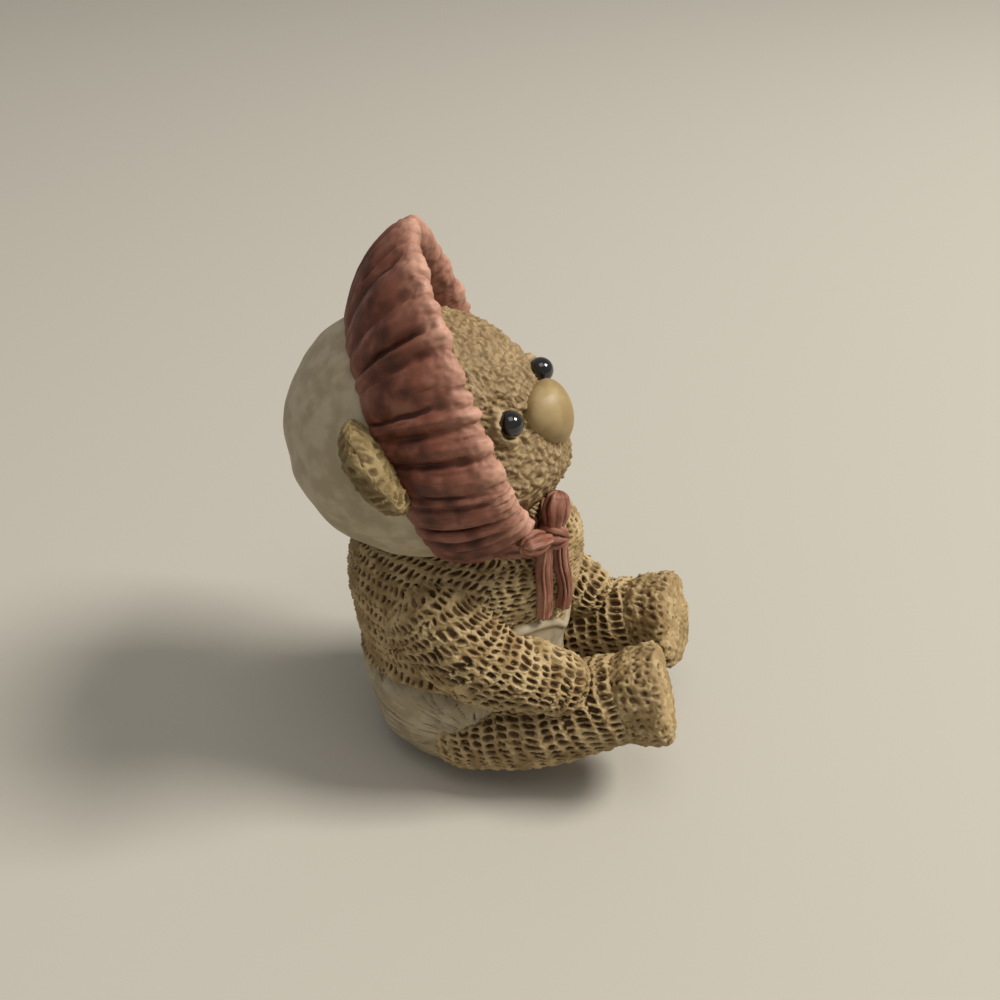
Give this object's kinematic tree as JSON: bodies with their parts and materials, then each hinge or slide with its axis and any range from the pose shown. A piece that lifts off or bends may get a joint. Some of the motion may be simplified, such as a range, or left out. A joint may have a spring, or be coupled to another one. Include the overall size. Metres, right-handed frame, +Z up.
{
  "type": "bear figurine",
  "caption": "Small seated teddy bear figurine in cast, painted resin: knit-relief body, white bonnet with a gathered pink brim, ribbon bow and nappy; rests on its flat underside.",
  "frame": {"origin": "middle of the flat underside that the bear sits on", "axes": "+Z up to the top of the bonnet, -Y the way the legs point, +X to the bear's left"},
  "size_m": [0.0336, 0.0436, 0.0636],
  "materials": {
    "knit": "matt tan paint over a knit relief, with a brown wash in the hollows",
    "white_cloth": "satin off-white paint with brush-like streaks",
    "pink_cloth": "satin dusty-pink paint, brown in the gathers",
    "muzzle": "smooth satin ochre paint",
    "bead": "glossy black bead"
  },
  "bodies": {
    "root": {"torso": "knit", "nappy": "white_cloth", "head": "knit", "muzzle": "muzzle", "bonnet_cap": "white_cloth", "bonnet_ruffle": "pink_cloth", "bow_knot": "pink_cloth", "right_leg": "knit", "right_foot": "knit", "right_arm": "knit", "right_ear": "knit", "right_eye": "bead", "bow_right_loop": "pink_cloth", "right_ribbon_tail": "pink_cloth", "right_chin_tie": "pink_cloth", "left_leg": "knit", "left_foot": "knit", "left_arm": "knit", "left_ear": "knit", "left_eye": "bead", "bow_left_loop": "pink_cloth", "left_ribbon_tail": "pink_cloth", "left_chin_tie": "pink_cloth"}
  },
  "joints": []
}
